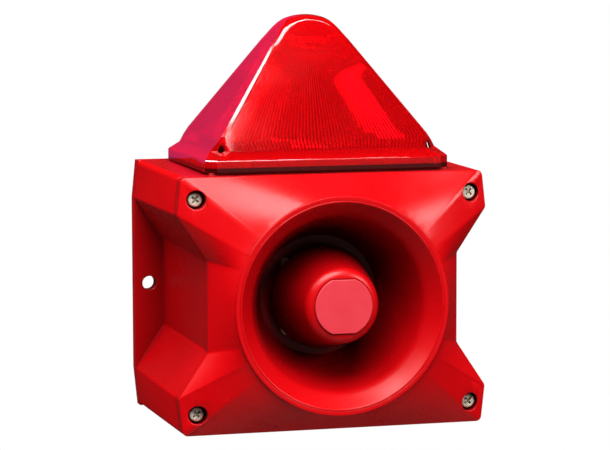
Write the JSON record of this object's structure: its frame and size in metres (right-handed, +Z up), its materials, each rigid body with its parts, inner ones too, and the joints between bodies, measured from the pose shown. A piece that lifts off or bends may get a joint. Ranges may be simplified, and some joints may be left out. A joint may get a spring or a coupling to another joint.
{
  "type": "horn strobe",
  "caption": "Wall-mounted fire alarm horn strobe: waisted case with a faceted front cover, a folded horn and a red pyramid lens over a flash tube.",
  "frame": {"origin": "centre of the case's back face, on the horn's axis", "axes": "+Z up, +Y into the wall, -Y out of the horn's mouth, +X to the right seen from the front"},
  "size_m": [0.1702, 0.1317, 0.222],
  "materials": {
    "red_housing": "semi-gloss moulded plastic",
    "red_lens": "clear polished plastic",
    "badge": "satin moulded",
    "zinc_screw": "zinc plated",
    "brass": "turned",
    "seal_rubber": "moulded rubber",
    "plated_steel": "zinc plated plate",
    "ferrite": "sintered, ground",
    "dark_plastic": "moulded",
    "metal_dome": "thin formed sheet",
    "copper_winding": "enamelled wire",
    "circuit_board": "solder mask",
    "terminal_green": "moulded",
    "switch_blue": "moulded",
    "switch_white": "moulded",
    "clear_glass": "drawn glass",
    "bright_sheet": "polished sheet",
    "can_sleeve": "shrink sleeve",
    "wire_sleeve": "extruded",
    "nylon_white": "moulded",
    "core_ferrite": "sintered"
  },
  "bodies": {
    "case": {"rear_housing": "red_housing", "threaded_inserts": "brass", "cover_seal": "seal_rubber", "lens": "red_lens", "lens_seal": "seal_rubber", "lens_screws": "zinc_screw", "strobe_spacers": "nylon_white", "strobe_board": "circuit_board", "flash_tube": "clear_glass", "tube_caps": "plated_steel", "strobe_reflector": "bright_sheet", "storage_capacitor": "can_sleeve", "trigger_coil": "dark_plastic", "strobe_lead": "wire_sleeve", "strobe_connector": "nylon_white", "main_board": "circuit_board", "board_screws": "zinc_screw", "terminal_block": "terminal_green", "terminal_screws": "zinc_screw", "tone_switch": "switch_blue", "volume_trimmer": "switch_blue", "transformer_core": "core_ferrite", "transformer_winding": "copper_winding", "smoothing_capacitors": "can_sleeve", "chips": "dark_plastic", "horn_socket": "nylon_white", "cable_plugs": "dark_plastic", "plug_seals": "seal_rubber"},
    "cover": {"front_cover": "red_housing", "screw_seals": "seal_rubber", "horn_bell": "red_housing", "horn_screws": "zinc_screw", "horn_throat": "red_housing", "reflector_cup": "red_housing", "badge_plate": "badge", "driver_seal": "seal_rubber", "driver_frame": "dark_plastic", "phase_plug": "dark_plastic", "top_plate": "plated_steel", "ring_magnet": "ferrite", "pole_yoke": "plated_steel", "driver_screws": "zinc_screw", "driver_terminals": "dark_plastic", "horn_lead": "wire_sleeve", "horn_plug": "nylon_white"},
    "diaphragm": {"diaphragm": "metal_dome", "voice_coil": "copper_winding"},
    "volume": {"volume_rotor": "switch_white"},
    "screw_top_left": {"cover_screw_top_left": "zinc_screw"},
    "screw_top_right": {"cover_screw_top_right": "zinc_screw"},
    "screw_bottom_left": {"cover_screw_bottom_left": "zinc_screw"},
    "screw_bottom_right": {"cover_screw_bottom_right": "zinc_screw"},
    "tone_1": {"tone_slider_1": "switch_white"},
    "tone_2": {"tone_slider_2": "switch_white"},
    "tone_3": {"tone_slider_3": "switch_white"},
    "tone_4": {"tone_slider_4": "switch_white"},
    "tone_5": {"tone_slider_5": "switch_white"}
  },
  "joints": [
    {"name": "cover_slide", "type": "slide", "parent": "case", "child": "cover", "axis": [0, -1, 0], "range_m": [0, 0.12]},
    {"name": "diaphragm_travel", "type": "slide", "parent": "cover", "child": "diaphragm", "axis": [0, -1, 0], "range_m": [-0.0004, 0.0004], "stiffness_N_per_m": 2500},
    {"name": "volume_turn", "type": "hinge", "parent": "case", "child": "volume", "pos_m": [0.042, -0.0183, -0.031], "axis": [0, -1, 0], "range_deg": [-135, 135]},
    {"name": "screw_top_left_turn", "type": "hinge", "parent": "cover", "child": "screw_top_left", "pos_m": [-0.0744, -0.1096, 0.0562], "axis": [0, -1, 0], "continuous": true},
    {"name": "screw_top_right_turn", "type": "hinge", "parent": "cover", "child": "screw_top_right", "pos_m": [0.0744, -0.1096, 0.0562], "axis": [0, -1, 0], "continuous": true},
    {"name": "screw_bottom_left_turn", "type": "hinge", "parent": "cover", "child": "screw_bottom_left", "pos_m": [-0.0744, -0.1096, -0.0562], "axis": [0, -1, 0], "continuous": true},
    {"name": "screw_bottom_right_turn", "type": "hinge", "parent": "cover", "child": "screw_bottom_right", "pos_m": [0.0744, -0.1096, -0.0562], "axis": [0, -1, 0], "continuous": true},
    {"name": "tone_1_slide", "type": "slide", "parent": "case", "child": "tone_1", "axis": [0, 0, 1], "range_m": [0, 0.0024]},
    {"name": "tone_2_slide", "type": "slide", "parent": "case", "child": "tone_2", "axis": [0, 0, 1], "range_m": [0, 0.0024]},
    {"name": "tone_3_slide", "type": "slide", "parent": "case", "child": "tone_3", "axis": [0, 0, 1], "range_m": [0, 0.0024]},
    {"name": "tone_4_slide", "type": "slide", "parent": "case", "child": "tone_4", "axis": [0, 0, 1], "range_m": [0, 0.0024]},
    {"name": "tone_5_slide", "type": "slide", "parent": "case", "child": "tone_5", "axis": [0, 0, 1], "range_m": [0, 0.0024]}
  ]
}
